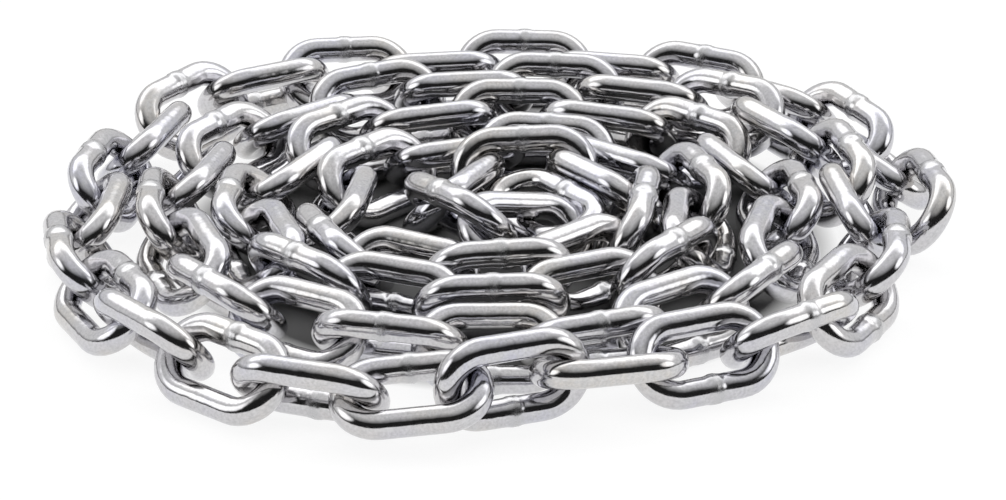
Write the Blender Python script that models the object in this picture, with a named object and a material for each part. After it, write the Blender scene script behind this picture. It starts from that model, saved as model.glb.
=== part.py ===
"""A heap of bright zinc-plated welded steel chain, laid down in a flat spiral of five turns.

Metres, +Z up. The origin is on the floor under the middle of the heap, and -Y is the front.
The outer turns are one object for each link. The links of the inner turns are one object, joined
where a crown presses on the next and flattened a little where they stand on the floor.
"""

import math

import bmesh
import bpy
import numpy as np
from mathutils import Matrix

# One link of quarter-inch proof coil chain
WIRE = 0.0071
INSIDE_LENGTH = 0.0258
INSIDE_WIDTH = 0.0104
CROWN = (INSIDE_WIDTH + WIRE) / 2  # radius of the wire's centre line round each end
STRAIGHT = INSIDE_LENGTH + WIRE - 2 * CROWN

# How finely a link is faceted
SECTION_SIDES = 8
CROWN_STEPS = 6
ROUND_ANGLE = math.radians(70)  # edges flatter than this are shaded smooth

# How the links lie
SLACK = 0.0005  # a link hangs this much short of tight in its neighbour
CLEAR = 0.00045  # the least distance from wire to wire
LOWEST = WIRE / 2 + 0.0002  # centre of a wire on the floor
LEANS = (135.0, 45.0)  # degrees from level, outward, up to a link's face, in turn
UNEVEN_LEAN = 8.0
TWIST_LINK = 21  # from this link on, the two leans change places
OWN_LEANS = {20: 68.0, 21: 14.0, 22: 125.0, 79: 28.0, 80: 112.0}
SEED = 11

# How the links are nudged clear of each other
PASSES = 600
SETTLING_PASSES = 350  # the first passes, in which a link is also drawn back to where it was laid
DRAW_BACK = 0.02
NEIGHBOURS_EVERY = 10  # passes between two searches for near links
PART_SHARE = 0.5  # share of a clash that one pass mends
HOLD_SHARE = 0.4
PLAY = 0.0009  # how far two linked crowns' middles may move apart
LOOSE_PLAY = 0.0030  # the same where the chain lies slack, in the joined inner turns
CROWN_BEADS = 12
BAR_BEADS = 6

# The route from the outer free end to the inner one: compass angle in degrees, counted on from
# turn to turn, then distance from the middle and lift above the floor, in metres
ROUTE = (
    (-2, 0.110, 0), (15, 0.110, 0), (34, 0.112, 0), (56, 0.107, 0), (85, 0.100, 0),
    (114, 0.106, 0), (141, 0.112, 0), (163, 0.105, 0), (190, 0.109, 0), (210, 0.111, 0),
    (232, 0.110, 0), (259, 0.110, 0), (278, 0.095, 0), (304, 0.098, 0), (333, 0.105, 0),
    (346, 0.101, 0), (362, 0.096, 0.002), (390, 0.093, 0.004), (420, 0.088, 0.002),
    (450, 0.083, 0), (495, 0.086, 0), (540, 0.086, 0), (585, 0.083, 0), (630, 0.076, 0),
    (675, 0.078, 0), (720, 0.077, 0), (765, 0.073, 0), (810, 0.066, 0), (855, 0.065, 0),
    (900, 0.065, 0), (945, 0.061, 0), (990, 0.055, 0), (1035, 0.055, 0), (1080, 0.055, 0),
    (1125, 0.051, 0), (1170, 0.046, 0), (1215, 0.044, 0), (1260, 0.045, 0), (1305, 0.044, 0),
    (1350, 0.041, 0), (1395, 0.039, 0), (1440, 0.037, 0), (1485, 0.032, 0), (1530, 0.027, 0),
    (1590, 0.026, 0),
)
ROUTE_STEPS = 20000

# The last links lie about the middle: heading of each, in compass degrees, and its rise
TAIL = ((-115, 0.0), (-50, 0.001), (35, 0.001), (125, 0.002))

# Links from the outer end that are objects of their own. The others are joined.
SEPARATE_LINKS = 54
BITE = 0.0002  # how far the crowns of two joined links press into each other
FLAT = 0.0003  # how deep a joined link is flattened by the floor
BLOCK = 0.3  # side of the block that flattens them

ZINC = (0.76, 0.77, 0.79, 1.0)
ROUGHNESS = 0.22


def smooth(values, places, at):
    """A curve through values at places, by the cubic whose slope at a point joins its neighbours."""
    slopes = np.gradient(values, places)
    k = np.clip(np.searchsorted(places, at, side="right") - 1, 0, len(places) - 2)
    span = places[k + 1] - places[k]
    u = (at - places[k]) / span
    return (
        values[k] * (1 + 2 * u) * (1 - u) ** 2
        + slopes[k] * span * u * (1 - u) ** 2
        + values[k + 1] * u * u * (3 - 2 * u)
        + slopes[k + 1] * span * u * u * (u - 1)
    )


def joints():
    """Where one link hangs in the next: at even chords along the route, and then up the tail."""
    route = np.array(ROUTE, float)
    angles = np.linspace(route[0, 0], route[-1, 0], ROUTE_STEPS)
    radius = smooth(route[:, 1], route[:, 0], angles)
    lift = smooth(route[:, 2], route[:, 0], angles)
    turn = np.radians(angles)
    curve = np.stack([radius * np.cos(turn), radius * np.sin(turn), lift], axis=1)
    found = [curve[0]]
    for point in curve:
        if np.linalg.norm(point - found[-1]) >= INSIDE_LENGTH - SLACK:
            found.append(point)
    for heading, rise in TAIL:
        level = math.sqrt((INSIDE_LENGTH - SLACK) ** 2 - rise**2)
        turn = math.radians(heading)
        found.append(found[-1] + (level * math.cos(turn), level * math.sin(turn), rise))
    return np.array(found)


def unit(v):
    return v / np.linalg.norm(v, axis=-1, keepdims=True)


def lean_of(link, extra):
    """Degrees that a link's face leans up from level, outward: first one way, then the other."""
    return OWN_LEANS.get(link, LEANS[(link + 1 + (link >= TWIST_LINK)) % 2] + extra)


def floor_of(numbers):
    """How low the centre of each link's wire may come."""
    return np.where(numbers < SEPARATE_LINKS, LOWEST, WIRE / 2 - FLAT)


def laid():
    """Centres and axes (along, across, face) of the links as the route gives them."""
    ends = joints()
    centres = (ends[1:] + ends[:-1]) / 2
    along = unit(ends[1:] - ends[:-1])
    outward = unit(np.cross(along, (0.0, 0.0, 1.0)))
    upward = np.cross(outward, along)
    chance = np.random.default_rng(SEED)
    uneven = chance.normal(0, UNEVEN_LEAN, len(centres))
    lean = np.radians([lean_of(n + 1, extra) for n, extra in enumerate(uneven)])[:, None]
    face = np.cos(lean) * outward + np.sin(lean) * upward
    across = np.cross(face, along)
    centres[:, 2] += floor_of(np.arange(len(centres))) + CROWN * np.abs(across[:, 2])
    return centres, np.stack([along, across, face], axis=1)


def beads():
    """Points along a link's centre line, in its own plane."""
    half_turn = np.linspace(-math.pi / 2, math.pi / 2, CROWN_BEADS)
    crown = CROWN * np.stack([np.cos(half_turn), np.sin(half_turn)], axis=1)
    crown[:, 0] += STRAIGHT / 2
    bar = np.linspace(STRAIGHT / 2, -STRAIGHT / 2, BAR_BEADS + 2)[1:-1]
    side = np.stack([bar, np.full(BAR_BEADS, CROWN)], axis=1)
    return np.concatenate([crown, side, -crown, -side])


BEADS = beads()


def beads_at(centres, axes):
    return centres[:, None] + np.einsum("pk,nkx->npx", BEADS, axes[:, :2])


class Nudges:
    """Small moves and turns of the links, gathered and then made together."""

    def __init__(self, count):
        self.move = np.zeros((count, 3))
        self.turn = np.zeros((count, 3))
        self.swing = CROWN**2  # how easily a push off the centre turns a link

    def add(self, link, arm, push):
        np.add.at(self.move, link, push)
        np.add.at(self.turn, link, np.cross(arm, push) / self.swing)

    def ease(self, arm, way):
        return 1 + (np.cross(arm, way) ** 2).sum(-1) / self.swing

    def make(self, centres, axes):
        centres += self.move
        axes += np.cross(self.turn[:, None], axes)
        axes[:, 0] = unit(axes[:, 0])
        axes[:, 2] = unit(np.cross(axes[:, 0], axes[:, 1]))
        axes[:, 1] = np.cross(axes[:, 2], axes[:, 0])


def near_pairs(centres):
    first, second = np.triu_indices(len(centres), 1)
    reach = INSIDE_LENGTH + 3 * WIRE  # a link's outer length and one wire more
    close = np.linalg.norm(centres[first] - centres[second], axis=1) < reach
    return first[close], second[close]


def part_wires(centres, axes, pairs, nudges):
    """Pushes apart wires that are nearer than they may be, and draws joined neighbours together."""
    first, second = pairs
    points = beads_at(centres, axes)
    apart = points[first][:, :, None] - points[second][:, None]
    distance = (apart**2).sum(-1).reshape(len(first), -1)
    nearest = distance.argmin(axis=1)
    row = np.arange(len(first))
    a, b = np.divmod(nearest, len(BEADS))
    length = np.sqrt(distance[row, nearest])
    joined = (second == first + 1) & (first >= SEPARATE_LINKS)
    short = np.where(joined, WIRE - BITE, WIRE + CLEAR) - length
    hit = joined | (short > 0)
    way = (apart[row, a, b] / length[:, None])[hit]
    first, second = first[hit], second[hit]
    arm_a = points[first, a[hit]] - centres[first]
    arm_b = points[second, b[hit]] - centres[second]
    push = PART_SHARE * short[hit] / (nudges.ease(arm_a, way) + nudges.ease(arm_b, way))
    nudges.add(first, arm_a, push[:, None] * way)
    nudges.add(second, arm_b, -push[:, None] * way)


def hold_neighbours(centres, axes, nudges):
    """Pulls each link back to its neighbour where the two hang further apart than tight."""
    arm_a = axes[:-1, 0] * INSIDE_LENGTH / 2
    arm_b = -axes[1:, 0] * INSIDE_LENGTH / 2
    apart = centres[1:] + arm_b - centres[:-1] - arm_a
    length = np.linalg.norm(apart, axis=1)
    number = np.arange(len(centres) - 1)
    play = np.where(number < SEPARATE_LINKS, PLAY, LOOSE_PLAY)
    over = np.maximum(length - play, 0)
    way = apart / np.maximum(length, play)[:, None]
    pull = HOLD_SHARE * over / (nudges.ease(arm_a, way) + nudges.ease(arm_b, way))
    nudges.add(number, arm_a, pull[:, None] * way)
    nudges.add(number + 1, arm_b, -pull[:, None] * way)


def keep_on_floor(centres, axes, nudges):
    points = beads_at(centres, axes)
    low = points[:, :, 2].argmin(axis=1)
    number = np.arange(len(centres))
    under = np.maximum(floor_of(number) - points[number, low, 2], 0)
    arm = points[number, low] - centres
    push = np.zeros_like(arm)
    push[:, 2] = under / nudges.ease(arm, np.array([0.0, 0.0, 1.0]))
    nudges.add(number, arm, push)


def cleared():
    """The links nudged from where the route lays them until every wire clears the next."""
    centres, axes = laid()
    start = centres.copy()
    for count in range(PASSES):
        if count % NEIGHBOURS_EVERY == 0:
            pairs = near_pairs(centres)
        nudges = Nudges(len(centres))
        if count < SETTLING_PASSES:
            nudges.move += DRAW_BACK * (start - centres)
        part_wires(centres, axes, pairs, nudges)
        hold_neighbours(centres, axes, nudges)
        keep_on_floor(centres, axes, nudges)
        nudges.make(centres, axes)
    return centres, axes


def zinc():
    material = bpy.data.materials.new("zinc_plated_steel")
    material.use_nodes = True
    shader = material.node_tree.nodes["Principled BSDF"]
    shader.inputs["Base Color"].default_value = ZINC
    shader.inputs["Metallic"].default_value = 1.0
    shader.inputs["Roughness"].default_value = ROUGHNESS
    return material


def link_mesh():
    """A link lying in the XY plane: a section carried along a straight, round a crown and back."""
    bm = bmesh.new()
    upright = Matrix.Translation((-STRAIGHT / 2, CROWN, 0)) @ Matrix.Rotation(math.pi / 2, 4, "Y")
    ring = bmesh.ops.create_circle(
        bm, segments=SECTION_SIDES, radius=WIRE / 2, matrix=upright
    )
    edges = list({edge for vert in ring["verts"] for edge in vert.link_edges})
    for side in (1, -1):
        grown = bmesh.ops.extrude_edge_only(bm, edges=edges)["geom"]
        verts = [item for item in grown if isinstance(item, bmesh.types.BMVert)]
        bmesh.ops.translate(bm, verts=verts, vec=(side * STRAIGHT, 0, 0))
        rim = [e for v in verts for e in v.link_edges if e.other_vert(v) in verts]
        spun = bmesh.ops.spin(
            bm,
            geom=verts + list(set(rim)),
            cent=(side * STRAIGHT / 2, 0, 0),
            axis=(0, 0, -1),
            angle=math.pi,
            steps=CROWN_STEPS,
        )
        edges = [e for e in spun["geom_last"] if isinstance(e, bmesh.types.BMEdge)]
    bmesh.ops.remove_doubles(bm, verts=bm.verts, dist=WIRE / 1000)
    bmesh.ops.recalc_face_normals(bm, faces=bm.faces)
    mesh = bpy.data.meshes.new("link")
    bm.to_mesh(mesh)
    bm.free()
    mesh.shade_smooth()
    mesh.set_sharp_from_angle(angle=ROUND_ANGLE)
    return mesh


def pose(centre, axes):
    matrix = Matrix(axes.tolist()).transposed().to_4x4()
    matrix.translation = centre.tolist()
    return matrix


def add_link(name, mesh, centre, axes, heap, collection):
    link = bpy.data.objects.new(name, mesh)
    link.parent = heap
    link.matrix_local = pose(centre, axes)
    collection.objects.link(link)
    return link


def hide(tool):
    tool.hide_render = True
    tool.display_type = "WIRE"


def block_mesh():
    """A block whose top is the floor."""
    bm = bmesh.new()
    bmesh.ops.create_cube(bm, size=BLOCK, matrix=Matrix.Translation((0, 0, -BLOCK / 2)))
    mesh = bpy.data.meshes.new("floor_block")
    bm.to_mesh(mesh)
    bm.free()
    return mesh


def add_heap(centres, axes):
    """An empty that carries every link, moved so that the heap's middle is at the origin."""
    heap = bpy.data.objects.new("heap", None)
    bpy.context.scene.collection.objects.link(heap)
    points = beads_at(centres, axes).reshape(-1, 3)
    middle = (points.min(axis=0) + points.max(axis=0)) / 2
    heap.location = (-middle[0], -middle[1], 0)
    return heap


def add_inner_turns(mesh, centres, axes, heap):
    """The inner links joined to one object and flattened where they stand on the floor."""
    tools = bpy.data.collections.new("inner_links")
    bpy.context.scene.collection.children.link(tools)
    for number in range(SEPARATE_LINKS + 1, len(centres)):
        name = f"inner_{number + 1:02d}"
        hide(add_link(name, mesh, centres[number], axes[number], heap, tools))
    scene = bpy.context.scene.collection
    first = SEPARATE_LINKS
    inner = add_link("inner_turns", mesh, centres[first], axes[first], heap, scene)
    union = inner.modifiers.new("inner links", "BOOLEAN")
    union.operation = "UNION"
    union.operand_type = "COLLECTION"
    union.collection = tools
    union.solver = "EXACT"
    block = bpy.data.objects.new("floor_block", block_mesh())
    hide(block)
    scene.objects.link(block)
    flat = inner.modifiers.new("flats", "BOOLEAN")
    flat.operation = "DIFFERENCE"
    flat.object = block
    flat.solver = "EXACT"


def main():
    for obj in list(bpy.data.objects):
        bpy.data.objects.remove(obj, do_unlink=True)
    material = zinc()
    mesh = link_mesh()
    mesh.materials.append(material)
    centres, axes = cleared()
    heap = add_heap(centres, axes)
    scene = bpy.context.scene.collection
    for number in range(SEPARATE_LINKS):
        add_link(f"link_{number + 1:02d}", mesh, centres[number], axes[number], heap, scene)
    add_inner_turns(mesh, centres, axes, heap)


main()
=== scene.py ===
"""A heap of bright zinc-plated chain on a floor that glows white round it, with painted shade under
the heap: every link, its finish and the stage.
"""

import functools
import math

import bpy
import numpy as np
from mathutils import Matrix, Vector


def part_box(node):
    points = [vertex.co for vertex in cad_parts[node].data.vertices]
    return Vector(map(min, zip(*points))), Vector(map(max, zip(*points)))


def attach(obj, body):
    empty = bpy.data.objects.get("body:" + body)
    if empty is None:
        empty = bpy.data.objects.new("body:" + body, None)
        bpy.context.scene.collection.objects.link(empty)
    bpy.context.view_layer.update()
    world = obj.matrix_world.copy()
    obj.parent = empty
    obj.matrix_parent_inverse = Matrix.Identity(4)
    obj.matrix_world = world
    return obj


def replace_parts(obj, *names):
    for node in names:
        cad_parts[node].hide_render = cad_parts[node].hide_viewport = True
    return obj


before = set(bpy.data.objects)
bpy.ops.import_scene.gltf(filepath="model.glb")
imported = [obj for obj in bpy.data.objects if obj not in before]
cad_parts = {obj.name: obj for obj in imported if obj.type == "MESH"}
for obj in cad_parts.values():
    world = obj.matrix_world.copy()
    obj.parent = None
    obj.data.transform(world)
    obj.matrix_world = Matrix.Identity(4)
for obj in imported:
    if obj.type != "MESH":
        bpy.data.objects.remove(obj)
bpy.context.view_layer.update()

bl_info = {
    "name": "Heap of steel chain",
    "version": (1, 0, 0),
    "blender": (4, 5, 0),
    "location": "View3D > Sidebar > Chain",
    "description": "Lays a length of welded chain in a flat spiral on a studio floor",
    "category": "Add Mesh",
}

# A link as the solids have it
WIRE = 0.0071
INSIDE_LENGTH = 0.0258
INSIDE_WIDTH = 0.0104
CROWN = (INSIDE_WIDTH + WIRE) / 2  # radius of the wire's centre line round each end
STRAIGHT = INSIDE_LENGTH + WIRE - 2 * CROWN
WIRE_LENGTH = 2 * STRAIGHT + 2 * math.pi * CROWN

# How the solids' links lie
SLACK = 0.0005  # a link hangs this much short of tight in its neighbour
CLEAR = 0.00045  # the least distance from wire to wire
LOWEST = WIRE / 2 + 0.0002  # centre of a wire on the floor
LEANS = (135.0, 45.0)  # degrees from level, outward, up to a link's face, in turn
UNEVEN_LEAN = 8.0
TWIST_LINK = 21  # from this link on, the two leans change places
OWN_LEANS = {20: 68.0, 21: 14.0, 22: 125.0, 79: 28.0, 80: 112.0}
SEED = 11
PASSES = 600
SETTLING_PASSES = 350  # the first passes, in which a link is also drawn back to where it was laid
DRAW_BACK = 0.02
NEIGHBOURS_EVERY = 10  # passes between two searches for near links
PART_SHARE = 0.5  # share of a clash that one pass mends
HOLD_SHARE = 0.4
PLAY = 0.0009  # how far two linked crowns' middles may move apart
LOOSE_PLAY = 0.0030  # the same where the chain lies slack, in the inner turns
CROWN_BEADS = 12
BAR_BEADS = 6
ROUTE_STEPS = 20000

# The route from the outer free end to the inner one: compass angle in degrees, counted on from
# turn to turn, then distance from the middle and lift above the floor, in metres
ROUTE = (
    (-2, 0.110, 0), (15, 0.110, 0), (34, 0.112, 0), (56, 0.107, 0), (85, 0.100, 0),
    (114, 0.106, 0), (141, 0.112, 0), (163, 0.105, 0), (190, 0.109, 0), (210, 0.111, 0),
    (232, 0.110, 0), (259, 0.110, 0), (278, 0.095, 0), (304, 0.098, 0), (333, 0.105, 0),
    (346, 0.101, 0), (362, 0.096, 0.002), (390, 0.093, 0.004), (420, 0.088, 0.002),
    (450, 0.083, 0), (495, 0.086, 0), (540, 0.086, 0), (585, 0.083, 0), (630, 0.076, 0),
    (675, 0.078, 0), (720, 0.077, 0), (765, 0.073, 0), (810, 0.066, 0), (855, 0.065, 0),
    (900, 0.065, 0), (945, 0.061, 0), (990, 0.055, 0), (1035, 0.055, 0), (1080, 0.055, 0),
    (1125, 0.051, 0), (1170, 0.046, 0), (1215, 0.044, 0), (1260, 0.045, 0), (1305, 0.044, 0),
    (1350, 0.041, 0), (1395, 0.039, 0), (1440, 0.037, 0), (1485, 0.032, 0), (1530, 0.027, 0),
    (1590, 0.026, 0),
)
# The last links lie about the middle: heading of each, in compass degrees, and its rise
TAIL = ((-115, 0.0), (-50, 0.001), (35, 0.001), (125, 0.002))

SEPARATE_LINKS = 54  # links from the outer end that are solids of their own
BITE = 0.0002  # how far the crowns of two joined links press into each other
FLAT = 0.0003  # how deep a joined link is flattened by the floor
INNER_NODE = "inner_turns"
AGREES = 0.0006  # how near a link must lie to its own solid

# The weld in the middle of one bar: places along the bar from its middle, and how much thicker
WELD = (
    (0.0004, 1.078), (0.0008, 1.072), (0.0012, 1.056), (0.0016, 1.030), (0.0020, 1.010),
    (0.0025, 1.000), (0.0031, 1.000),
)
WELD_CREST = 1.080  # how much thicker the wire is at the very middle
WELD_REACH = 0.0018  # how far along the wire the duller finish of the weld goes
WELD_GRAIN = 0.0011  # size of the lumps on a weld
WIRE_GRAIN = 0.009  # size of the shallow swellings of the wire
WELD_ON_INNER_BAR = (16, 17, 18, 19, 20, 22)  # on the other links it is on the outer bar

# The camera: widths in pixels and millimetres, and the height it aims at
PICTURE_WIDTH = 1006
FOCAL_PIXELS = 4021.5
SENSOR = 36.0
AIM_HEIGHT = 0.015
SHIFT = (0.001, -0.0437)

# The studio. A pair gives where something begins and where it is complete: along a direction's
# height (1 straight up) or its way back (1 straight back), or in metres from the heap's middle
FLOOR_SIZE = 12.0
HEAP_MIDDLE = (0.0, 0.010, 0.0)
# The floor's glow is painted light: none within the first distance from the heap's middle and full
# past the second, so the floor under the inner turns is painted shade
PAINTED_SHADE_TO_GLOW = (0.078, 0.0891)
FRONT_DARK = (0.10, -0.2448)
LOW_DARK = (0.99, 0.5733)
HORIZON_DARK = (0.1667, 0.0)
BACK = (0.15, 0.3167)
BACK_BOX_FOOT = (0.46, 0.56)
BACK_BOX_TOP = (0.94, 0.7971)
SIDE_BOXES = ((-0.88, -0.22, 0.42), (0.90, -0.16, 0.42))
BOX_ANGLES = (6, 20)  # degrees off its middle where a side box begins and stops fading

PLACE_MAP = "wire_place"  # along the wire, then across its section, in metres
WELD_MAP = "weld"


class ChainSize(bpy.types.PropertyGroup):
    """Fineness and evenness of the links"""

    section_sides: bpy.props.IntProperty(
        name="Sides of the wire", description="Vertices round the wire", default=28, min=8
    )
    crown_steps: bpy.props.IntProperty(
        name="Steps of a crown", description="Faces along each rounded end", default=20, min=6
    )
    bar_steps: bpy.props.IntProperty(
        name="Steps of a bar", description="Faces along the plain long side", default=8, min=2
    )
    uneven: bpy.props.FloatProperty(
        name="Uneven wire",
        description="Height of the wire's shallow swellings",
        default=0.00012,
        unit="LENGTH",
    )
    weld_uneven: bpy.props.FloatProperty(
        name="Uneven weld",
        description="Height of the lumps on the weld",
        default=0.00035,
        unit="LENGTH",
    )


class ChainFinish(bpy.types.PropertyGroup):
    """Colours and polish of the zinc"""

    zinc: bpy.props.FloatVectorProperty(
        name="Zinc",
        description="Colour of the plating",
        subtype="COLOR",
        size=3,
        default=(0.62, 0.62, 0.63),
        min=0,
        max=1,
    )
    cool: bpy.props.FloatVectorProperty(
        name="Cool tint",
        description="Bluish cast of the clear passivation",
        subtype="COLOR",
        size=3,
        default=(0.56, 0.56, 0.67),
        min=0,
        max=1,
    )
    warm: bpy.props.FloatVectorProperty(
        name="Warm tint",
        description="Yellowish cast of the clear passivation",
        subtype="COLOR",
        size=3,
        default=(0.68, 0.64, 0.59),
        min=0,
        max=1,
    )
    weld: bpy.props.FloatVectorProperty(
        name="Weld",
        description="Colour of the duller plating over the weld",
        subtype="COLOR",
        size=3,
        default=(0.54, 0.54, 0.55),
        min=0,
        max=1,
    )
    polish: bpy.props.FloatProperty(
        name="Roughness", description="Roughness of clean wire", default=0.055, min=0, max=1
    )


class ChainStage(bpy.types.PropertyGroup):
    """Floor, light and camera"""

    # The floor's own dark grey shows only under the heap, where the glow stops: painted shade
    floor: bpy.props.FloatVectorProperty(
        name="Floor",
        description="Colour of the studio floor",
        subtype="COLOR",
        size=3,
        default=(0.20, 0.20, 0.20),
        min=0,
        max=1,
    )
    dome: bpy.props.FloatProperty(
        name="Dome",
        description="Brightness of the even light from above",
        default=0.86,
        min=0,
    )
    side_box: bpy.props.FloatProperty(
        name="Side boxes",
        description="Brightness of the soft boxes at either side",
        default=1.8,
        min=0,
    )
    back_box: bpy.props.FloatProperty(
        name="Back box",
        description="Brightness of the soft box behind and above",
        default=1.1,
        min=0,
    )
    # Painted light: the floor glows white outside the heap and not under it, though it is no lamp
    glow: bpy.props.FloatProperty(
        name="Floor glow",
        description="How brightly the open floor is lit from below",
        default=0.86,
        min=0,
    )
    distance: bpy.props.FloatProperty(
        name="Camera distance",
        description="From the lens to the middle of the heap",
        default=1.05,
        unit="LENGTH",
    )
    elevation: bpy.props.FloatProperty(
        name="Camera elevation",
        description="How steeply the camera looks down",
        default=math.radians(24),
        unit="ROTATION",
    )


def smooth(values, places, at):
    """A curve through values at places; its slope at a point joins that point's neighbours."""
    slopes = np.gradient(values, places)
    k = np.clip(np.searchsorted(places, at, side="right") - 1, 0, len(places) - 2)
    span = places[k + 1] - places[k]
    u = (at - places[k]) / span
    return (
        values[k] * (1 + 2 * u) * (1 - u) ** 2
        + slopes[k] * span * u * (1 - u) ** 2
        + values[k + 1] * u * u * (3 - 2 * u)
        + slopes[k + 1] * span * u * u * (u - 1)
    )


def joints():
    """Where one link hangs in the next: at even chords along the route, and then up the tail."""
    route = np.array(ROUTE, float)
    angles = np.linspace(route[0, 0], route[-1, 0], ROUTE_STEPS)
    radius = smooth(route[:, 1], route[:, 0], angles)
    lift = smooth(route[:, 2], route[:, 0], angles)
    turn = np.radians(angles)
    curve = np.stack([radius * np.cos(turn), radius * np.sin(turn), lift], axis=1)
    found = [curve[0]]
    for point in curve:
        if np.linalg.norm(point - found[-1]) >= INSIDE_LENGTH - SLACK:
            found.append(point)
    for heading, rise in TAIL:
        level = math.sqrt((INSIDE_LENGTH - SLACK) ** 2 - rise**2)
        turn = math.radians(heading)
        found.append(found[-1] + (level * math.cos(turn), level * math.sin(turn), rise))
    return np.array(found)


def unit(v):
    return v / np.linalg.norm(v, axis=-1, keepdims=True)


def lean_of(link, extra):
    """Degrees that a link's face leans up from level, outward: first one way, then the other."""
    return OWN_LEANS.get(link, LEANS[(link + 1 + (link >= TWIST_LINK)) % 2] + extra)


def floor_of(numbers):
    """How low the centre of each link's wire may come."""
    return np.where(numbers < SEPARATE_LINKS, LOWEST, WIRE / 2 - FLAT)


def laid():
    """Centres and axes (along, across, face) of the links as the route gives them."""
    ends = joints()
    centres = (ends[1:] + ends[:-1]) / 2
    along = unit(ends[1:] - ends[:-1])
    outward = unit(np.cross(along, (0.0, 0.0, 1.0)))
    upward = np.cross(outward, along)
    chance = np.random.default_rng(SEED)
    uneven = chance.normal(0, UNEVEN_LEAN, len(centres))
    lean = np.radians([lean_of(n + 1, extra) for n, extra in enumerate(uneven)])[:, None]
    face = np.cos(lean) * outward + np.sin(lean) * upward
    across = np.cross(face, along)
    centres[:, 2] += floor_of(np.arange(len(centres))) + CROWN * np.abs(across[:, 2])
    return centres, np.stack([along, across, face], axis=1)


def beads():
    """Points along a link's centre line, in its own plane."""
    half_turn = np.linspace(-math.pi / 2, math.pi / 2, CROWN_BEADS)
    crown = CROWN * np.stack([np.cos(half_turn), np.sin(half_turn)], axis=1)
    crown[:, 0] += STRAIGHT / 2
    bar = np.linspace(STRAIGHT / 2, -STRAIGHT / 2, BAR_BEADS + 2)[1:-1]
    side = np.stack([bar, np.full(BAR_BEADS, CROWN)], axis=1)
    return np.concatenate([crown, side, -crown, -side])


BEADS = beads()


def beads_at(centres, axes):
    return centres[:, None] + np.einsum("pk,nkx->npx", BEADS, axes[:, :2])


class Nudges:
    """Small moves and turns of the links, gathered and then made together."""

    def __init__(self, count):
        self.move = np.zeros((count, 3))
        self.turn = np.zeros((count, 3))
        self.swing = CROWN**2  # how easily a push off the centre turns a link

    def add(self, link, arm, push):
        np.add.at(self.move, link, push)
        np.add.at(self.turn, link, np.cross(arm, push) / self.swing)

    def ease(self, arm, way):
        return 1 + (np.cross(arm, way) ** 2).sum(-1) / self.swing

    def make(self, centres, axes):
        centres += self.move
        axes += np.cross(self.turn[:, None], axes)
        axes[:, 0] = unit(axes[:, 0])
        axes[:, 2] = unit(np.cross(axes[:, 0], axes[:, 1]))
        axes[:, 1] = np.cross(axes[:, 2], axes[:, 0])


def near_pairs(centres):
    first, second = np.triu_indices(len(centres), 1)
    reach = INSIDE_LENGTH + 3 * WIRE  # a link's outer length and one wire more
    close = np.linalg.norm(centres[first] - centres[second], axis=1) < reach
    return first[close], second[close]


def part_wires(centres, axes, pairs, nudges):
    """Pushes apart wires that are nearer than they may be, and draws joined neighbours together."""
    first, second = pairs
    points = beads_at(centres, axes)
    apart = points[first][:, :, None] - points[second][:, None]
    distance = (apart**2).sum(-1).reshape(len(first), -1)
    nearest = distance.argmin(axis=1)
    row = np.arange(len(first))
    a, b = np.divmod(nearest, len(BEADS))
    length = np.sqrt(distance[row, nearest])
    joined = (second == first + 1) & (first >= SEPARATE_LINKS)
    short = np.where(joined, WIRE - BITE, WIRE + CLEAR) - length
    hit = joined | (short > 0)
    way = (apart[row, a, b] / length[:, None])[hit]
    first, second = first[hit], second[hit]
    arm_a = points[first, a[hit]] - centres[first]
    arm_b = points[second, b[hit]] - centres[second]
    push = PART_SHARE * short[hit] / (nudges.ease(arm_a, way) + nudges.ease(arm_b, way))
    nudges.add(first, arm_a, push[:, None] * way)
    nudges.add(second, arm_b, -push[:, None] * way)


def hold_neighbours(centres, axes, nudges):
    """Pulls each link back to its neighbour where the two hang further apart than tight."""
    arm_a = axes[:-1, 0] * INSIDE_LENGTH / 2
    arm_b = -axes[1:, 0] * INSIDE_LENGTH / 2
    apart = centres[1:] + arm_b - centres[:-1] - arm_a
    length = np.linalg.norm(apart, axis=1)
    number = np.arange(len(centres) - 1)
    play = np.where(number < SEPARATE_LINKS, PLAY, LOOSE_PLAY)
    over = np.maximum(length - play, 0)
    way = apart / np.maximum(length, play)[:, None]
    pull = HOLD_SHARE * over / (nudges.ease(arm_a, way) + nudges.ease(arm_b, way))
    nudges.add(number, arm_a, pull[:, None] * way)
    nudges.add(number + 1, arm_b, -pull[:, None] * way)


def keep_on_floor(centres, axes, nudges):
    points = beads_at(centres, axes)
    low = points[:, :, 2].argmin(axis=1)
    number = np.arange(len(centres))
    under = np.maximum(floor_of(number) - points[number, low, 2], 0)
    arm = points[number, low] - centres
    push = np.zeros_like(arm)
    push[:, 2] = under / nudges.ease(arm, np.array([0.0, 0.0, 1.0]))
    nudges.add(number, arm, push)


@functools.lru_cache
def lie():
    """Where each link lies: nudged from the route until every wire clears the next."""
    centres, axes = laid()
    start = centres.copy()
    for count in range(PASSES):
        if count % NEIGHBOURS_EVERY == 0:
            pairs = near_pairs(centres)
        nudges = Nudges(len(centres))
        if count < SETTLING_PASSES:
            nudges.move += DRAW_BACK * (start - centres)
        part_wires(centres, axes, pairs, nudges)
        hold_neighbours(centres, axes, nudges)
        keep_on_floor(centres, axes, nudges)
        nudges.make(centres, axes)
    points = beads_at(centres, axes).reshape(-1, 3)
    middle = (points.min(axis=0) + points.max(axis=0)) / 2
    centres[:, :2] -= middle[:2]
    return centres, axes


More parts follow.
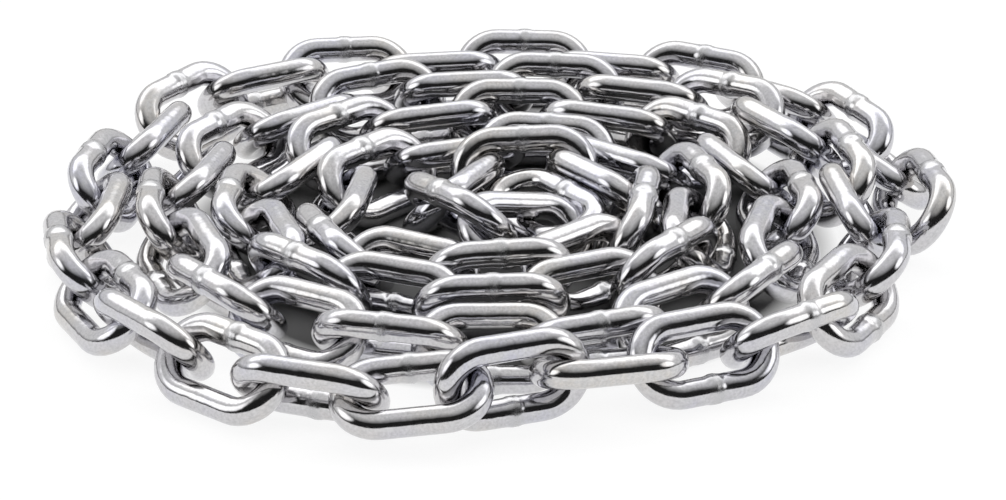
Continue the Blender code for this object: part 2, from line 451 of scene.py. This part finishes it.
class Shade:
    """A number in a shader that goes into Python's own sums, each of which adds a Math node."""

    def __init__(self, tree, socket):
        self.tree = tree
        self.socket = socket

    def math(self, operation, *values):
        return self.tree.node(
            "ShaderNodeMath", {"operation": operation}, dict(enumerate(values)), "Value"
        )

    def __add__(self, other):
        return self.math("ADD", self, other)

    def __mul__(self, other):
        return self.math("MULTIPLY", self, other)

    def __sub__(self, other):
        return self.math("SUBTRACT", self, other)

    def __rsub__(self, other):
        return self.math("SUBTRACT", other, self)

    def rising(self, start, full):
        """0 up to start, and 1 from full on; start may be the higher of the two."""
        share = (self - start) * (1 / (full - start))
        return self.math("MINIMUM", self.math("MAXIMUM", share, 0.0), 1.0)

    __radd__ = __add__
    __rmul__ = __mul__


class Tree:
    """A node tree that is filled one node at a time."""

    def __init__(self, owner):
        owner.use_nodes = True
        self.nodes = owner.node_tree.nodes
        self.links = owner.node_tree.links
        self.nodes.clear()

    def node(self, kind, settings=None, inputs=None, output=0):
        made = self.nodes.new(kind)
        for name, value in (settings or {}).items():
            setattr(made, name, value)
        for name, value in (inputs or {}).items():
            if isinstance(value, Shade):
                self.links.new(value.socket, made.inputs[name])
            else:
                made.inputs[name].default_value = value
        return Shade(self, made.outputs[output]) if len(made.outputs) else None

    def scaled(self, vector, scale):
        return self.node(
            "ShaderNodeVectorMath", {"operation": "MULTIPLY"}, {0: vector, 1: scale}, "Vector"
        )

    def part(self, vector, letter):
        return self.node("ShaderNodeSeparateXYZ", None, {0: vector}, letter)

    def noise(self, vector, scale, detail=2.0, roughness=0.5):
        inputs = {"Vector": vector, "Scale": scale, "Detail": detail, "Roughness": roughness}
        return self.node("ShaderNodeTexNoise", {}, inputs, "Fac")

    def toward(self, way, aim, inner, outer):
        """1 in directions within inner degrees of aim, falling softly to 0 at outer degrees."""
        inputs = {0: way, 1: Vector(aim).normalized()}
        near = self.node("ShaderNodeVectorMath", {"operation": "DOT_PRODUCT"}, inputs, "Value")
        share = near.rising(math.cos(math.radians(outer)), math.cos(math.radians(inner)))
        return share * share * (3.0 - 2.0 * share)

    def mixed(self, share, a, b):
        inputs = {0: share, 6: a, 7: b}
        return self.node("ShaderNodeMix", {"data_type": "RGBA"}, inputs, 2)


@functools.lru_cache
def bright_zinc():
    """Bright plating: drawn streaks along the wire, shallow dents, faint tints, a duller weld."""
    finish = bpy.context.scene.chain_finish
    material = bpy.data.materials.new("bright_zinc")
    tree = Tree(material)
    place = tree.node("ShaderNodeAttribute", {"attribute_name": PLACE_MAP}, None, "Vector")
    weld = tree.node("ShaderNodeAttribute", {"attribute_name": WELD_MAP}, None, "Fac")
    solid = tree.node("ShaderNodeTexCoord", None, None, "Object")

    # The scales are in swirls per metre
    streaks = tree.noise(tree.scaled(place, (0.08, 1.0, 1.0)), 1500.0, 3.0)
    dents = tree.noise(place, 260.0, 1.0)
    pits = tree.noise(place, 1400.0, 3.0, 0.6)
    cast = tree.noise(solid, 55.0, 1.0)
    bloom = tree.noise(place, 420.0, 4.0, 0.6)

    tint = tree.mixed(cast.rising(0.3077, 0.6923), (*finish.cool, 1), (*finish.warm, 1))
    colour = tree.mixed(bloom.rising(0.25, 0.9643), (*finish.zinc, 1), tint)
    pitted = tree.scaled(colour, (0.78, 0.78, 0.78))
    colour = tree.mixed(pits.rising(0.375, 0.7917), colour, pitted)
    dull = (weld * (0.45 + 0.9 * pits)).rising(0.0, 1.0)
    colour = tree.mixed(dull, colour, (*finish.weld, 1))
    rough = finish.polish + 0.10 * bloom + 0.04 * streaks + 0.16 * dull

    height = 0.60 * dents + 0.060 * streaks + 0.035 * pits + weld * pits * 0.12
    bump = tree.node(
        "ShaderNodeBump",
        None,
        {"Height": height, "Distance": 0.0003, "Strength": 0.6},
        "Normal",
    )
    shader = tree.node(
        "ShaderNodeBsdfPrincipled",
        None,
        {"Base Color": colour, "Metallic": 1.0, "Roughness": rough, "Normal": bump},
        "BSDF",
    )
    tree.node("ShaderNodeOutputMaterial", None, {"Surface": shader})
    return material


def selected_only(obj):
    bpy.ops.object.select_all(action="DESELECT")
    obj.select_set(True)
    bpy.context.view_layer.objects.active = obj


def model_link(size):
    """One link lying level, its welded bar on +Y, drawn out ring by ring from the weld's middle."""
    bpy.ops.object.select_all(action="DESELECT")
    bpy.ops.mesh.primitive_circle_add(
        vertices=size.section_sides,
        radius=WIRE / 2,
        fill_type="NOTHING",
        location=(0, 0, 0),
        rotation=(0, math.pi / 2, 0),
    )
    bpy.ops.object.transform_apply(location=True, rotation=True, scale=True)
    link = bpy.context.object
    bpy.ops.object.mode_set(mode="EDIT")
    bpy.ops.mesh.select_all(action="SELECT")
    bpy.ops.transform.translate(value=(0, CROWN, 0))
    bpy.ops.transform.resize(value=(1, WELD_CREST, WELD_CREST), center_override=(0, CROWN, 0))
    place, thick = 0.0, WELD_CREST
    for far, girth in (*WELD, (STRAIGHT / 4, 1.0), (STRAIGHT / 2, 1.0)):
        bpy.ops.mesh.extrude_edges_move(
            TRANSFORM_OT_translate={"value": (far - place, 0, 0)}
        )
        grow = girth / thick
        bpy.ops.transform.resize(value=(1, grow, grow), center_override=(far, CROWN, 0))
        place, thick = far, girth
    bpy.ops.mesh.spin(
        steps=size.crown_steps, angle=math.pi, center=(STRAIGHT / 2, 0, 0), axis=(0, 0, 1)
    )
    for _ in range(size.bar_steps):
        bpy.ops.mesh.extrude_edges_move(
            TRANSFORM_OT_translate={"value": (-STRAIGHT / size.bar_steps, 0, 0)}
        )
    bpy.ops.mesh.spin(
        steps=size.crown_steps, angle=math.pi, center=(-STRAIGHT / 2, 0, 0), axis=(0, 0, 1)
    )
    place, thick = STRAIGHT / 2, 1.0
    for far, girth in ((STRAIGHT / 4, 1.0), *reversed(WELD), (0.0, WELD_CREST)):
        bpy.ops.mesh.extrude_edges_move(
            TRANSFORM_OT_translate={"value": (place - far, 0, 0)}
        )
        grow = girth / thick
        bpy.ops.transform.resize(value=(1, grow, grow), center_override=(-far, CROWN, 0))
        place, thick = far, girth
    bpy.ops.mesh.select_all(action="SELECT")
    bpy.ops.mesh.remove_doubles(threshold=WIRE / 2000)
    bpy.ops.mesh.normals_make_consistent(inside=False)
    bpy.ops.object.mode_set(mode="OBJECT")
    bpy.ops.object.shade_smooth()
    map_wire(link.data)
    return link


def map_wire(mesh):
    """Writes where each corner lies along and across the wire, and how near the weld it is."""
    points = np.empty(len(mesh.vertices) * 3)
    mesh.vertices.foreach_get("co", points)
    points = points.reshape(-1, 3)
    end = np.clip(points[:, 0], -STRAIGHT / 2, STRAIGHT / 2)
    arm = points[:, :2] - np.stack([end, np.zeros(len(points))], axis=1)
    turned = np.arctan2(np.abs(arm[:, 0]) * (np.abs(arm[:, 0]) > 1e-7), arm[:, 1])
    far = np.abs(end) + CROWN * turned
    lower = points[:, 1] < 0
    straight = np.abs(points[:, 0]) < STRAIGHT / 2
    far = np.where(lower & straight, WIRE_LENGTH / 2 - np.abs(end), far)
    across = np.linalg.norm(arm, axis=1) - CROWN
    weld = np.exp(-((far / WELD_REACH) ** 2))

    corners = np.empty(len(mesh.loops), int)
    mesh.loops.foreach_get("vertex_index", corners)
    middles = np.empty(len(mesh.polygons) * 3)
    mesh.polygons.foreach_get("center", middles)
    totals = np.empty(len(mesh.polygons), int)
    mesh.polygons.foreach_get("loop_total", totals)
    side = np.sign(np.repeat(middles.reshape(-1, 3)[:, 0], totals))
    values = np.stack([side * far[corners], across[corners], points[corners, 2]], axis=1)
    place_map = mesh.attributes.new(PLACE_MAP, "FLOAT_VECTOR", "CORNER")
    place_map.data.foreach_set("vector", values.ravel())
    weld_map = mesh.attributes.new(WELD_MAP, "FLOAT", "POINT")
    weld_map.data.foreach_set("value", weld)


def uneven(piece, name, height, grain, group=""):
    """Pushes a piece's surface in and out a little, and applies it."""
    cloud = bpy.data.textures.new(name, "CLOUDS")
    cloud.noise_scale = grain
    modifier = piece.modifiers.new(name, "DISPLACE")
    modifier.texture = cloud
    modifier.texture_coords = "LOCAL"
    modifier.strength = height
    modifier.mid_level = 0.5
    modifier.vertex_group = group
    bpy.ops.object.modifier_apply(modifier=name)


def add_link(pattern, number, size):
    """A copy of the pattern link with its own unevenness, lying where its solid lies."""
    centres, axes = lie()
    turned = axes[number].copy()
    if number + 1 not in WELD_ON_INNER_BAR:
        turned[1:] *= -1
    matrix = Matrix(turned.tolist()).transposed().to_4x4()
    matrix.translation = centres[number].tolist()
    piece = bpy.data.objects.new(f"chain_link_{number + 1:02d}", pattern.data.copy())
    bpy.context.scene.collection.objects.link(piece)
    piece.data.transform(matrix)
    group = piece.vertex_groups.new(name=WELD_MAP)
    for vertex, near in enumerate(piece.data.attributes[WELD_MAP].data):
        if near.value > 0.01:
            group.add([vertex], near.value, "REPLACE")
    selected_only(piece)
    uneven(piece, "uneven_wire", size.uneven, WIRE_GRAIN)
    uneven(piece, "uneven_weld", size.weld_uneven, WELD_GRAIN, WELD_MAP)
    piece.vertex_groups.clear()
    values = np.empty(len(piece.data.loops) * 3)
    place_map = piece.data.attributes[PLACE_MAP]
    place_map.data.foreach_get("vector", values)
    values[::3] += number * 2 * WIRE_LENGTH
    place_map.data.foreach_set("vector", values)
    piece.data.materials.append(bright_zinc())
    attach(piece, "root")
    return piece


class CHAIN_OT_outer_links(bpy.types.Operator):
    """Lay the links whose solids stand alone"""

    bl_idname = "chain.outer_links"
    bl_label = "Outer links"

    def execute(self, context):
        size = context.scene.chain_size
        pattern = model_link(size)
        for number in range(SEPARATE_LINKS):
            node = f"link_{number + 1:02d}"
            piece = add_link(pattern, number, size)
            low, high = (np.array(corner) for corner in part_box(node))
            points = np.array([vertex.co for vertex in piece.data.vertices])
            middle = (points.min(axis=0) + points.max(axis=0)) / 2
            if np.abs(middle - (low + high) / 2).max() > AGREES:
                raise RuntimeError(f"{piece.name} doesn't lie where {node} does")
            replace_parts(piece, node)
        bpy.data.objects.remove(pattern, do_unlink=True)
        return {"FINISHED"}


class CHAIN_OT_inner_links(bpy.types.Operator):
    """Lay the links of the inner turns"""

    bl_idname = "chain.inner_links"
    bl_label = "Inner links"

    def execute(self, context):
        size = context.scene.chain_size
        pattern = model_link(size)
        centres, _ = lie()
        for number in range(SEPARATE_LINKS, len(centres)):
            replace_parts(add_link(pattern, number, size), INNER_NODE)
        bpy.data.objects.remove(pattern, do_unlink=True)
        return {"FINISHED"}


class CHAIN_OT_stage(bpy.types.Operator):
    """Set the floor, the light and the camera"""

    bl_idname = "chain.stage"
    bl_label = "Stage"

    def execute(self, context):
        stage = context.scene.chain_stage
        self.add_floor(stage)
        self.add_light(context.scene, stage)
        self.add_camera(context.scene, stage)
        context.scene.view_settings.view_transform = "Standard"
        return {"FINISHED"}

    def add_floor(self, stage):
        bpy.ops.object.select_all(action="DESELECT")
        bpy.ops.mesh.primitive_plane_add(size=FLOOR_SIZE, location=(0, 0, 0))
        floor = bpy.context.object
        floor.name = "studio_floor"
        material = bpy.data.materials.new("floor_glow_and_painted_shade")
        tree = Tree(material)
        place = tree.node("ShaderNodeTexCoord", None, None, "Object")
        flat = tree.scaled(place, (1.0, 1.0, 0.0))
        inputs = {0: flat, 1: HEAP_MIDDLE}
        far = tree.node("ShaderNodeVectorMath", {"operation": "DISTANCE"}, inputs, "Value")
        # The floor glows white outside the heap and stays dark grey under it: painted light and
        # painted shade, not lamplight
        glow = tree.mixed(far.rising(*PAINTED_SHADE_TO_GLOW), (0, 0, 0, 1), (1, 1, 1, 1))
        shader = tree.node(
            "ShaderNodeBsdfPrincipled",
            None,
            {
                "Base Color": (*stage.floor, 1),
                "Roughness": 0.9,
                "Specular IOR Level": 0.1,
                "Emission Color": glow,
                "Emission Strength": stage.glow,
            },
            "BSDF",
        )
        tree.node("ShaderNodeOutputMaterial", None, {"Surface": shader})
        floor.data.materials.append(material)

    def add_light(self, scene, stage):
        world = bpy.data.worlds.new("studio")
        scene.world = world
        tree = Tree(world)
        way = tree.node("ShaderNodeTexCoord", None, None, "Generated")
        back = tree.part(way, "Y")
        height = tree.part(way, "Z")
        front_dark = back.rising(*FRONT_DARK) * height.rising(*LOW_DARK)
        horizon_dark = height.rising(*HORIZON_DARK)
        dome = stage.dome * (1.0 - 0.98 * front_dark) * (1.0 - 0.85 * horizon_dark)
        back_box = (
            back.rising(*BACK) * height.rising(*BACK_BOX_FOOT) * height.rising(*BACK_BOX_TOP)
        )
        left_box, right_box = (tree.toward(way, aim, *BOX_ANGLES) for aim in SIDE_BOXES)
        boxes = stage.side_box * (left_box + right_box) + stage.back_box * back_box
        seen = tree.node("ShaderNodeLightPath", None, None, "Is Camera Ray")
        glow = (dome + boxes) * (1.0 - seen) + seen
        shader = tree.node(
            "ShaderNodeBackground", None, {"Color": (1, 1, 1, 1), "Strength": glow}, "Background"
        )
        tree.node("ShaderNodeOutputWorld", None, {"Surface": shader})

    def add_camera(self, scene, stage):
        camera = bpy.data.objects.new("camera", bpy.data.cameras.new("camera"))
        scene.collection.objects.link(camera)
        scene.camera = camera
        camera.data.sensor_width = SENSOR
        camera.data.lens = SENSOR * FOCAL_PIXELS / PICTURE_WIDTH
        camera.data.shift_x, camera.data.shift_y = SHIFT
        reach = stage.distance * math.cos(stage.elevation)
        rise = stage.distance * math.sin(stage.elevation)
        camera.location = (0.0, -reach, AIM_HEIGHT + rise)
        camera.rotation_euler = (math.pi / 2 - stage.elevation, 0, 0)


class CHAIN_PT_panel(bpy.types.Panel):
    """The chain's sizes, finish and steps"""

    bl_label = "Heap of chain"
    bl_idname = "CHAIN_PT_panel"
    bl_space_type = "VIEW_3D"
    bl_region_type = "UI"
    bl_category = "Chain"

    def draw(self, context):
        for group in (
            context.scene.chain_size, context.scene.chain_finish, context.scene.chain_stage
        ):
            for name in group.bl_rna.properties.keys():
                if name not in ("rna_type", "name"):
                    self.layout.prop(group, name)
        for operator in OPERATORS:
            self.layout.operator(operator.bl_idname)


GROUPS = {"chain_size": ChainSize, "chain_finish": ChainFinish, "chain_stage": ChainStage}
OPERATORS = (CHAIN_OT_outer_links, CHAIN_OT_inner_links, CHAIN_OT_stage)


def register():
    for kind in (*GROUPS.values(), *OPERATORS, CHAIN_PT_panel):
        bpy.utils.register_class(kind)
    for name, kind in GROUPS.items():
        setattr(bpy.types.Scene, name, bpy.props.PointerProperty(type=kind))


def unregister():
    for name in GROUPS:
        delattr(bpy.types.Scene, name)
    for kind in (CHAIN_PT_panel, *OPERATORS[::-1], *GROUPS.values()):
        bpy.utils.unregister_class(kind)


def main():
    register()
    bpy.ops.chain.outer_links()
    bpy.ops.chain.inner_links()
    bpy.ops.chain.stage()


if __name__ == "__main__":
    main()
